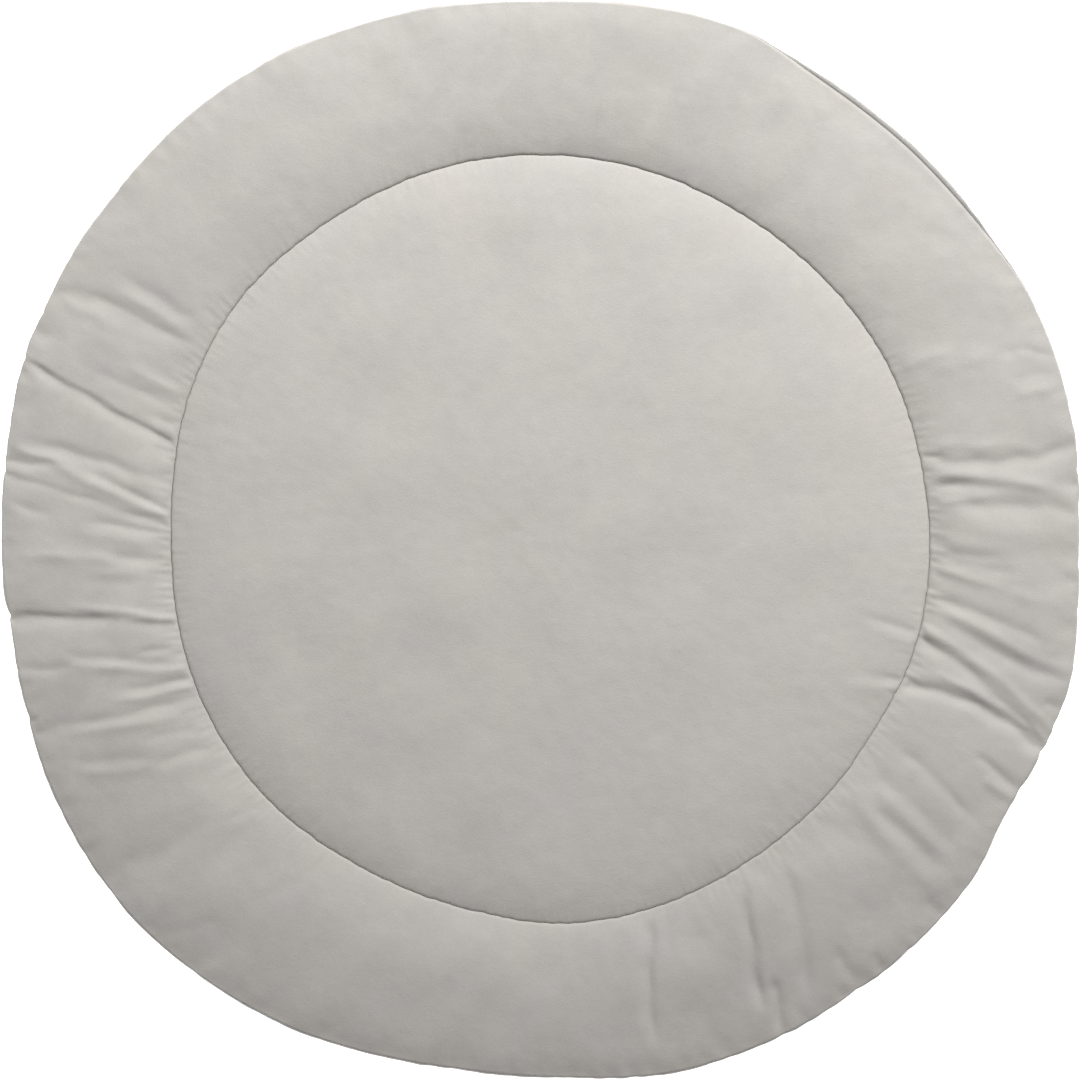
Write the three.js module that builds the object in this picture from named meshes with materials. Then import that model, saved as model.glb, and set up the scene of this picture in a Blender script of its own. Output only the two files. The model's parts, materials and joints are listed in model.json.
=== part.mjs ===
// A round padded play mat, lying flat on its back.
// A thin padded centre is sewn round with a plumper border, whose cloth puckers between the two seams.
// A back cloth lies under both and turns up to meet the border's cloth at the rim seam.
// Millimetres, +Z up. The origin is on the floor, under the middle of the mat.
import * as THREE from "three";

// Driving dimensions.
const MAT_RADIUS = 480; // middle of the mat to its widest point, on average
const CENTRE_RADIUS = 337; // middle of the mat to the seam round the centre, on average
const BORDER_HEIGHT = 36; // floor to the border's crest
const CENTRE_HEIGHT = 31; // floor to the top of the padded centre, in its middle
const SEAM_HEIGHT = 23.5; // floor to where the padded edges press together over the seam
const WIDEST_HEIGHT = 16; // height at which the border reaches out furthest
const CLOTH = 2; // the back cloth with the thin wadding behind it
const GAP = 0.3; // between pieces that are sewn together

// How the padding rises from a seam: a steep roll of the given width makes up a share of the
// height, and a long soft slope, which falls off over the given length, makes up the rest.
const FROM_SEAM_TO_BORDER = { roll: 2, share: 0.14, length: 24 };
const FROM_RIM_TO_BORDER = { roll: 3, share: 0.96, length: 20 };
const FROM_SEAM_TO_CENTRE = { roll: 2.5, share: 0.16, length: 24 };
const CREST_SHARE = 0.6; // where the border's crest lies between seam and rim
const UNDERCUT = 26; // how far the contact with the floor stays back from the widest point

// The rim seam's place in the border's section, which is walked from -1 on the floor over 0 at the
// widest point and 1 at the crest to 2 at the seam.
const RIM_SEAM_WALK = -0.16;
const SEAM_CLEARANCE = 0.018; // from the edge of the back cloth to the edge of the border's cloth
const RIM_SEAM_ROLLS = [
  // where the rim seam has rolled up into view: middle and half width in degrees, and how far
  { at: 37, half: 14, walk: 0.4 },
  { at: 58, half: 15, walk: 0.44 },
  { at: 105, half: 5, walk: 0.28 },
];

// The stitched furrow under the mat.
const FURROW_DEPTH = 3;
const FURROW_HALF_WIDTH = 11;

// The outline as it lies: how far the rim and the centre seam stand off their average radii.
// Angles are in degrees, anticlockwise from +X.
const OUTLINE = [
  { at: 0, rim: -5, seam: 6 },
  { at: 10, rim: 0, seam: 5 },
  { at: 24, rim: 3, seam: 6 },
  { at: 33, rim: 0, seam: 5 },
  { at: 48, rim: -1, seam: 2 },
  { at: 60, rim: 0, seam: 1 },
  { at: 70, rim: 5, seam: 2 },
  { at: 88, rim: -3, seam: 3 },
  { at: 103, rim: 1, seam: 3 },
  { at: 124, rim: 8, seam: 1 },
  { at: 142, rim: 5, seam: 3 },
  { at: 159, rim: 4, seam: -2 },
  { at: 170, rim: -1, seam: -8 },
  { at: 181, rim: -4, seam: -11 },
  { at: 192, rim: -5, seam: -9 },
  { at: 206, rim: 4, seam: -6 },
  { at: 223, rim: 11, seam: -5 },
  { at: 241, rim: 5, seam: -8 },
  { at: 260, rim: -7, seam: -5 },
  { at: 272, rim: -5, seam: 1 },
  { at: 284, rim: 4, seam: 2 },
  { at: 304, rim: 6, seam: 0 },
  { at: 321, rim: 5, seam: 1 },
  { at: 330, rim: -4, seam: 1 },
  { at: 343, rim: 3, seam: 6 },
];

// The main puckers of the border's cloth. A pucker runs from its inner to its outer angle, bowed
// sideways by so many degrees in its middle. Its ends are shares of the way from seam to rim.
// deep and wide are in millimetres; a ridge has a negative depth.
const PUCKERS = [
  { inner: 4.7, outer: 3.0, bow: 0.0, from: 0.02, to: 0.9, deep: 1.2, wide: 8 },
  { inner: 9.7, outer: 4.9, bow: 0.4, from: 0.02, to: 0.96, deep: -1.5, wide: 7 },
  { inner: 8.1, outer: 6.0, bow: 0.3, from: 0.02, to: 0.5, deep: 1.2, wide: 5 },
  { inner: 12.4, outer: 10.2, bow: -1.3, from: 0.02, to: 1.0, deep: 1.6, wide: 7 },
  { inner: 17.5, outer: 16.2, bow: 0.0, from: 0.65, to: 0.97, deep: -1.0, wide: 7 },
  { inner: 22.2, outer: 19.7, bow: 0.2, from: 0.65, to: 0.97, deep: 1.1, wide: 6 },
  { inner: 44.5, outer: 36.0, bow: 0.0, from: 0.3, to: 0.85, deep: 1.0, wide: 17 },
  { inner: 148.1, outer: 146.4, bow: 0.0, from: 0.12, to: 0.8, deep: 1.3, wide: 7 },
  { inner: 150.9, outer: 151.7, bow: -0.4, from: 0.06, to: 0.92, deep: 1.3, wide: 7 },
  { inner: 160.2, outer: 159.0, bow: 0.0, from: 0.02, to: 0.7, deep: 0.8, wide: 6 },
  { inner: 165.4, outer: 160.5, bow: -0.4, from: 0.0, to: 1.0, deep: 2.0, wide: 6 },
  { inner: 171.3, outer: 168.7, bow: -0.4, from: 0.0, to: 0.97, deep: 1.1, wide: 6 },
  { inner: 175.9, outer: 171.0, bow: 0.0, from: 0.0, to: 0.52, deep: 1.3, wide: 5 },
  { inner: 177.0, outer: 170.8, bow: -0.3, from: 0.02, to: 0.85, deep: -1.7, wide: 6 },
  { inner: 178.2, outer: 172.8, bow: -0.6, from: 0.0, to: 0.97, deep: 1.2, wide: 5 },
  { inner: 183.6, outer: 181.4, bow: -0.3, from: 0.12, to: 0.95, deep: -1.1, wide: 7 },
  { inner: 193.7, outer: 188.1, bow: -0.6, from: 0.02, to: 1.0, deep: 1.8, wide: 6 },
  { inner: 192.6, outer: 187.3, bow: -0.2, from: 0.02, to: 0.6, deep: -1.5, wide: 5 },
  { inner: 200.1, outer: 194.3, bow: -0.2, from: 0.02, to: 0.72, deep: -1.3, wide: 6 },
  { inner: 204.0, outer: 200.6, bow: 0.3, from: 0.02, to: 0.82, deep: 1.3, wide: 6 },
  { inner: 209.7, outer: 205.9, bow: 0.0, from: 0.4, to: 0.85, deep: -1.0, wide: 7 },
  { inner: 286.3, outer: 283.0, bow: -1.3, from: 0.07, to: 0.85, deep: 1.6, wide: 6 },
  { inner: 300.0, outer: 295.6, bow: -0.9, from: 0.18, to: 0.8, deep: 1.8, wide: 6 },
  { inner: 298.6, outer: 295.9, bow: 0.0, from: 0.68, to: 1.0, deep: 1.7, wide: 6 },
  { inner: 320.0, outer: 317.8, bow: 0.0, from: 0.3, to: 0.95, deep: -1.0, wide: 8 },
  { inner: 333.9, outer: 332.3, bow: 0.0, from: 0.65, to: 1.0, deep: 1.8, wide: 7 },
  { inner: 338.7, outer: 336.8, bow: 1.6, from: 0.0, to: 1.0, deep: 2.4, wide: 7 },
  { inner: 345.8, outer: 338.0, bow: 0.2, from: 0.0, to: 1.0, deep: 1.9, wide: 6 },
  { inner: 348.8, outer: 344.4, bow: -0.3, from: 0.06, to: 0.97, deep: 1.3, wide: 7 },
  { inner: 355.9, outer: 353.2, bow: -0.1, from: 0.04, to: 0.85, deep: -1.2, wide: 7 },
];
const PUCKER_FADE = 0.16; // the share of its run over which a pucker fades in at each end
const SEAM_HOLD = 0.05; // the share of the border's width by the seam over which puckers set in
const RIM_HOLD = 0.85; // the share of the border's width from which the rim seam pulls them flatter
const KEPT_AT_RIM = 0.4; // the share of their depth that they keep at the rim

// The spacing of the sections round the mat, in degrees: close where the cloth puckers.
const SPACING = [
  { from: -24, to: 27, step: 1.25 },
  { from: 27, to: 144, step: 3.25 },
  { from: 144, to: 216, step: 1.25 },
  { from: 216, to: 280, step: 3.2 },
  { from: 280, to: 308, step: 1.5 },
  { from: 308, to: 336, step: 2 },
];
const INNER_STEPS = 7; // from the seam to the crest
const OUTER_STEPS = 8; // from the crest to the rim seam
const TURN_UP_STEPS = 4; // from the rim seam to the floor
const COARSE_STEPS = 60; // round the mat, away from the border

const FULL_TURN = 360;
const RIGHT_ANGLE = 90;
const radians = THREE.MathUtils.degToRad;
const smoothstep = THREE.MathUtils.smoothstep;

function steps(from, to, count) {
  return Array.from({ length: count + 1 }, (_, i) => from + ((to - from) * i) / count);
}

// The shortest way from one angle to another, in degrees.
function turnBetween(from, to) {
  return THREE.MathUtils.euclideanModulo(to - from + FULL_TURN / 2, FULL_TURN) - FULL_TURN / 2;
}

// A closed smooth curve through one column of the outline table.
function aroundOutline(angle, column) {
  const at = THREE.MathUtils.euclideanModulo(angle, FULL_TURN);
  const count = OUTLINE.length;
  const next = OUTLINE.findIndex((row) => row.at > at);
  const after = next < 0 ? count : next;
  const row = (index) => {
    const turns = Math.floor(index / count);
    const base = OUTLINE[index - turns * count];
    return { at: base.at + turns * FULL_TURN, value: base[column] };
  };
  const [before, start, end, beyond] = [-2, -1, 0, 1].map((offset) => row(after + offset));
  const span = end.at - start.at;
  const t = (at - start.at) / span;
  const startSlope = ((end.value - before.value) / (end.at - before.at)) * span;
  const endSlope = ((beyond.value - start.value) / (beyond.at - start.at)) * span;
  const rise = end.value - start.value;
  return (
    start.value +
    startSlope * t +
    (3 * rise - 2 * startSlope - endSlope) * t ** 2 +
    (startSlope + endSlope - 2 * rise) * t ** 3
  );
}

const rimRadius = (angle) => MAT_RADIUS + aroundOutline(angle, "rim");
const seamRadius = (angle) => CENTRE_RADIUS + aroundOutline(angle, "seam");

// How far the puckers push the cloth out at one place, share being 0 at the seam and 1 at the rim.
function puckerRise(angle, share) {
  let rise = 0;
  for (const pucker of PUCKERS) {
    const run = (share - pucker.from) / (pucker.to - pucker.from);
    if (run < 0 || run > 1) continue;
    const line = pucker.inner + turnBetween(pucker.inner, pucker.outer) * run;
    const middle = line + pucker.bow * 4 * run * (1 - run);
    const radius = THREE.MathUtils.lerp(CENTRE_RADIUS, MAT_RADIUS, share);
    const off = radians(turnBetween(middle, angle)) * radius;
    // a pucker that reaches the rim goes on over it
    const fadeOut = pucker.to === 1 ? 1 : smoothstep(1 - run, 0, PUCKER_FADE);
    rise -= pucker.deep * Math.exp(-((off / pucker.wide) ** 2)) * smoothstep(run, 0, PUCKER_FADE) * fadeOut;
  }
  const kept = THREE.MathUtils.lerp(1, KEPT_AT_RIM, smoothstep(share, RIM_HOLD, 1));
  return rise * kept * smoothstep(share, 0, SEAM_HOLD);
}

// The share of its height that the padding has reached so far from a seam, of all that there is.
function padding(way, width, { roll, share, length }) {
  const steep = Math.sqrt(1 - (1 - Math.min(way / roll, 1)) ** 2);
  const level = Math.exp(-width / length);
  const soft = (x) => 1 - Math.exp(-x / length) - (x / length) * level;
  return share * steep + ((1 - share) * soft(way)) / soft(width);
}

// A point of the border's section without its puckers: its radius and its height.
function sectionPoint(angle, walk) {
  const seam = seamRadius(angle);
  const rim = rimRadius(angle);
  const crest = THREE.MathUtils.lerp(seam, rim, CREST_SHARE);
  if (walk < 0) {
    const turn = radians(RIGHT_ANGLE * -walk);
    return new THREE.Vector2(
      rim - UNDERCUT * (1 - Math.cos(turn)),
      WIDEST_HEIGHT * (1 - Math.sin(turn)),
    );
  }
  const outside = walk <= 1;
  const width = outside ? rim - crest : crest - seam;
  const way = width * (outside ? walk : 2 - walk) ** 2;
  const rise = padding(way, width, outside ? FROM_RIM_TO_BORDER : FROM_SEAM_TO_BORDER);
  const foot = outside ? WIDEST_HEIGHT : SEAM_HEIGHT;
  return new THREE.Vector2(
    outside ? rim - way : seam + way,
    foot + (BORDER_HEIGHT - foot) * rise,
  );
}

// The same point of the real, puckered surface, or one that lies a given depth under it. Under the
// rim's tight roll the deeper section is a like one that is smaller.
function borderPoint(angle, walk, under = 0) {
  const STEP = 0.006;
  const before = sectionPoint(angle, Math.max(walk - STEP, -1));
  const along = sectionPoint(angle, Math.min(walk + STEP, 2)).sub(before).normalize();
  const outward = new THREE.Vector2(along.y, -along.x);
  const point = sectionPoint(angle, walk);
  const seam = seamRadius(angle);
  const share = Math.min((point.x - seam) / (rimRadius(angle) - seam), 1);
  const rise =
    walk < 0
      ? puckerRise(angle, 1) * Math.cos(radians(RIGHT_ANGLE * walk))
      : puckerRise(angle, share);
  const risen = (point.y - WIDEST_HEIGHT) / (BORDER_HEIGHT - WIDEST_HEIGHT);
  const depth = walk < 0 ? outward : new THREE.Vector2(1 - walk ** 2, risen);
  point.addScaledVector(outward, rise).addScaledVector(depth, -under);
  return roundPoint(angle, point.x, point.y);
}

// The place in the section at which the border's cloth ends, at the rim seam.
function rimSeamAt(angle) {
  return RIM_SEAM_ROLLS.reduce((sum, roll) => {
    const off = turnBetween(roll.at, angle) / roll.half;
    return sum + roll.walk * Math.exp(-(off ** 2));
  }, RIM_SEAM_WALK);
}

// The places in the section from the floor up to the edge of the back cloth.
const TURN_UP = steps(0, 1, TURN_UP_STEPS).map(
  (t) => (angle) => THREE.MathUtils.lerp(-1, rimSeamAt(angle) - SEAM_CLEARANCE, t),
);

// A closed loop of points round the mat: one for each angle, from a function of the angle.
function loopOf(angles, place) {
  return { angles, points: angles.map(place) };
}

function roundPoint(angle, radius, height) {
  return new THREE.Vector3(
    radius * Math.cos(radians(angle)),
    radius * Math.sin(radians(angle)),
    height,
  );
}

// The angles of all sections, and the coarse ones for the flat parts.
const FINE = SPACING.flatMap(({ from, to, step }) => {
  const count = Math.round((to - from) / step);
  return Array.from({ length: count }, (_, i) => from + ((to - from) * i) / count);
});
const COARSE = Array.from(
  { length: COARSE_STEPS },
  (_, i) => FINE[0] + (FULL_TURN * i) / COARSE_STEPS,
);

// A closed surface through a list of loops, each joined to the next by a band of triangles. An end
// that closes on a middle point is given by its height; without them the last loop joins the first.
function solidThrough(loops, startMiddle, endMiddle) {
  const positions = [];
  const triangles = [];
  const add = (point) => positions.push(point.x, point.y, point.z) / 3 - 1;
  const reach = (points) => points.reduce((sum, { x, y }) => sum + Math.hypot(x, y), 0) / points.length;
  const placed = loops.map(({ angles, points }) => ({
    angles,
    reach: reach(points),
    ids: points.map(add),
  }));
  const band = (a, b) => {
    let [i, j] = [0, 0];
    const [countA, countB] = [a.ids.length, b.ids.length];
    const angleAt = (loop, index) => loop.angles[index] ?? loop.angles[0] + FULL_TURN;
    while (i < countA || j < countB) {
      // of two equal steps the inner loop's comes first, so that layers one on another fold alike
      const ahead = angleAt(b, j + 1) - angleAt(a, i + 1);
      const stepA = j >= countB || (i < countA && (ahead > 0 || (ahead === 0 && a.reach < b.reach)));
      const [idA, idB] = [a.ids[i % countA], b.ids[j % countB]];
      if (stepA) {
        i += 1;
        triangles.push(idA, a.ids[i % countA], idB);
      } else {
        j += 1;
        triangles.push(idA, b.ids[j % countB], idB);
      }
    }
  };
  const fan = (loop, height, facing) => {
    const middle = add(new THREE.Vector3(0, 0, height));
    loop.ids.forEach((id, i) => {
      const after = loop.ids[(i + 1) % loop.ids.length];
      triangles.push(...(facing > 0 ? [id, after, middle] : [after, id, middle]));
    });
  };
  placed.slice(1).forEach((loop, i) => band(placed[i], loop));
  const last = placed[placed.length - 1];
  if (startMiddle === undefined) band(last, placed[0]);
  else {
    fan(placed[0], startMiddle, -1);
    fan(last, endMiddle, 1);
  }
  const geometry = new THREE.BufferGeometry();
  geometry.setAttribute("position", new THREE.Float32BufferAttribute(positions, 3));
  geometry.setIndex(triangles);
  geometry.computeVertexNormals();
  return geometry;
}

// The plump border: from its seam with the centre over the crest to the rim seam, then back
// underneath along the back cloth.
function borderGeometry() {
  const under = CLOTH + GAP;
  const innerWall = (angle) => seamRadius(angle) + GAP / 2;
  const top = [
    ...steps(2, 1, INNER_STEPS)
      .slice(1)
      .map((walk) => loopOf(FINE, (angle) => borderPoint(angle, walk))),
    ...steps(0, 1, OUTER_STEPS)
      .slice(1)
      .map((t) =>
        loopOf(FINE, (angle) => borderPoint(angle, THREE.MathUtils.lerp(1, rimSeamAt(angle), t))),
      ),
  ];
  const underside = [...TURN_UP, rimSeamAt].map((walkAt) =>
    loopOf(FINE, (angle) => borderPoint(angle, walkAt(angle), under)),
  );
  const furrowEdge = loopOf(COARSE, (angle) =>
    roundPoint(angle, seamRadius(angle) + FURROW_HALF_WIDTH, under),
  );
  const wallFoot = loopOf(FINE, (angle) => roundPoint(angle, innerWall(angle), under + FURROW_DEPTH));
  const wallTop = loopOf(FINE, (angle) => roundPoint(angle, innerWall(angle), SEAM_HEIGHT));
  return solidThrough([wallTop, wallFoot, furrowEdge, ...underside, ...top.reverse()]);
}

// The height of the padded centre, so far in from its seam.
function centreHeight(inset, angle) {
  const rise = padding(inset, seamRadius(angle), FROM_SEAM_TO_CENTRE);
  return SEAM_HEIGHT + (CENTRE_HEIGHT - SEAM_HEIGHT) * rise;
}

function centreGeometry() {
  const under = CLOTH + GAP;
  const INSETS = [0, 1.5, 6, 14, 28, 50, 90, 180]; // from the seam inwards
  const FINE_INSETS = 2; // the first loops follow the seam closely
  const outerWall = (angle) => seamRadius(angle) - GAP / 2;
  const top = INSETS.map((inset, i) =>
    loopOf(i < FINE_INSETS ? FINE : COARSE, (angle) =>
      roundPoint(angle, outerWall(angle) - inset, centreHeight(inset, angle)),
    ),
  );
  const furrowEdge = loopOf(COARSE, (angle) =>
    roundPoint(angle, seamRadius(angle) - FURROW_HALF_WIDTH, under),
  );
  const wallFoot = loopOf(FINE, (angle) => roundPoint(angle, outerWall(angle), under + FURROW_DEPTH));
  return solidThrough([furrowEdge, wallFoot, ...top], under, CENTRE_HEIGHT);
}

// The back cloth: flat on the floor but for the stitched furrow, and turned up round the border.
function backGeometry() {
  const sheet = (thickness) => [
    loopOf(COARSE, (angle) => roundPoint(angle, seamRadius(angle) - FURROW_HALF_WIDTH, thickness)),
    loopOf(FINE, (angle) => roundPoint(angle, seamRadius(angle), thickness + FURROW_DEPTH)),
    loopOf(COARSE, (angle) => roundPoint(angle, seamRadius(angle) + FURROW_HALF_WIDTH, thickness)),
    ...TURN_UP.map((walkAt) =>
      loopOf(FINE, (angle) => borderPoint(angle, walkAt(angle), thickness)),
    ),
  ];
  return solidThrough([...sheet(0), ...sheet(CLOTH).reverse()], 0, CLOTH);
}

// The cloth of the cut pieces: pale warm grey velvet, and a plain darker back cloth.
const VELVET = { color: new THREE.Color(0.56, 0.55, 0.52), roughness: 0.85 };
const BACK_CLOTH = { color: new THREE.Color(0.34, 0.33, 0.31), roughness: 0.9 };

function piece(name, geometry, cloth) {
  const mesh = new THREE.Mesh(geometry, new THREE.MeshStandardMaterial(cloth));
  mesh.name = name;
  return mesh;
}

const mat = new THREE.Group();
mat.add(
  piece("centre_panel", centreGeometry(), VELVET),
  piece("border_panel", borderGeometry(), VELVET),
  piece("back_panel", backGeometry(), BACK_CLOTH),
);

// The outline isn't quite even, so the mat is moved until the origin is under its middle.
const middle = new THREE.Box3().setFromObject(mat).getCenter(new THREE.Vector3());
for (const mesh of mat.children) mesh.position.set(-middle.x, -middle.y, 0);

export default mat;
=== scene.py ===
"""A round padded play mat in pale grey velvet, seen from straight above.

The border's cloth, the padded centre and the back cloth are modelled meshes in the places of their
solids. Sizes are in millimetres and are turned into metres where the meshes are made. Angles are in
degrees, anticlockwise from +X.
"""

import json
import math
from collections import namedtuple

import bpy
import numpy as np
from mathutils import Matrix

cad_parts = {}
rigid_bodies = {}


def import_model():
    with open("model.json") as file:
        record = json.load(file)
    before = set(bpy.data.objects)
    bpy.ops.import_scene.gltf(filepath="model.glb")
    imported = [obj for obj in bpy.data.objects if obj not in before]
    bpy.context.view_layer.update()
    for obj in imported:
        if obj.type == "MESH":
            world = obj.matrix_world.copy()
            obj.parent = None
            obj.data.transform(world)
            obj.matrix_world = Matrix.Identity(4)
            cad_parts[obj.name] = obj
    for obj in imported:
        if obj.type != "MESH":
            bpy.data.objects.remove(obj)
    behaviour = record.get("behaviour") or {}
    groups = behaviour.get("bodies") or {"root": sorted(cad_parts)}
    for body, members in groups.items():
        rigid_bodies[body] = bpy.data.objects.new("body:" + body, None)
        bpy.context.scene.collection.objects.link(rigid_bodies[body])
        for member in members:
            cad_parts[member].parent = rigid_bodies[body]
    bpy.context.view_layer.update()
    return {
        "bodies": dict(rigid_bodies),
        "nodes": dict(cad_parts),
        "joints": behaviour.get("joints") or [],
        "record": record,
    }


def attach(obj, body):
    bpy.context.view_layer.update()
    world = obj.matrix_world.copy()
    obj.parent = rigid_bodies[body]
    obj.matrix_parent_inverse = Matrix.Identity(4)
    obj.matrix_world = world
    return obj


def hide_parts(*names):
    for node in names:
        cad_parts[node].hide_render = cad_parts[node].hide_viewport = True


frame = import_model()

MM = 0.001

# Driving dimensions, the same as those of the solids.
MAT_RADIUS = 480  # middle of the mat to its widest point, on average
CENTRE_RADIUS = 337  # middle of the mat to the seam round the centre, on average
BORDER_HEIGHT = 36
CENTRE_HEIGHT = 31
SEAM_HEIGHT = 23.5  # floor to where the padded edges press together over the seam
WIDEST_HEIGHT = 16  # height at which the border reaches out furthest
CLOTH = 2  # the back cloth with the thin wadding behind it
GAP = 0.3  # between pieces that are sewn together
CREST_SHARE = 0.6  # where the border's crest lies between seam and rim
UNDERCUT = 26  # how far the contact with the floor stays back from the widest point
RIM_SEAM_WALK = -0.16  # the rim seam's place in the section that section_point walks
SEAM_CLEARANCE = 0.018  # from the edge of the back cloth to the edge of the border's cloth
FURROW_DEPTH = 3  # of the stitched furrow under the mat
FURROW_HALF_WIDTH = 11

# How the padding rises from a seam: a steep roll of a width makes up a share of the height, and a
# soft slope that falls off over a length makes up the rest.
Padding = namedtuple("Padding", "roll share length")
FROM_SEAM_TO_BORDER = Padding(2, 0.14, 24)
FROM_RIM_TO_BORDER = Padding(3, 0.96, 20)
FROM_SEAM_TO_CENTRE = Padding(2.5, 0.16, 24)

# Where the rim seam has rolled up into view: middle and half width in degrees, and how far.
RimRoll = namedtuple("RimRoll", "at half walk")
RIM_ROLLS = [RimRoll(37, 14, 0.4), RimRoll(58, 15, 0.44), RimRoll(105, 5, 0.28)]

# How far the rim and the centre seam stand off their average radii.
Outline = namedtuple("Outline", "at rim seam")
OUTLINE = [
    Outline(0, -5, 6),
    Outline(10, 0, 5),
    Outline(24, 3, 6),
    Outline(33, 0, 5),
    Outline(48, -1, 2),
    Outline(60, 0, 1),
    Outline(70, 5, 2),
    Outline(88, -3, 3),
    Outline(103, 1, 3),
    Outline(124, 8, 1),
    Outline(142, 5, 3),
    Outline(159, 4, -2),
    Outline(170, -1, -8),
    Outline(181, -4, -11),
    Outline(192, -5, -9),
    Outline(206, 4, -6),
    Outline(223, 11, -5),
    Outline(241, 5, -8),
    Outline(260, -7, -5),
    Outline(272, -5, 1),
    Outline(284, 4, 2),
    Outline(304, 6, 0),
    Outline(321, 5, 1),
    Outline(330, -4, 1),
    Outline(343, 3, 6),
]

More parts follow.
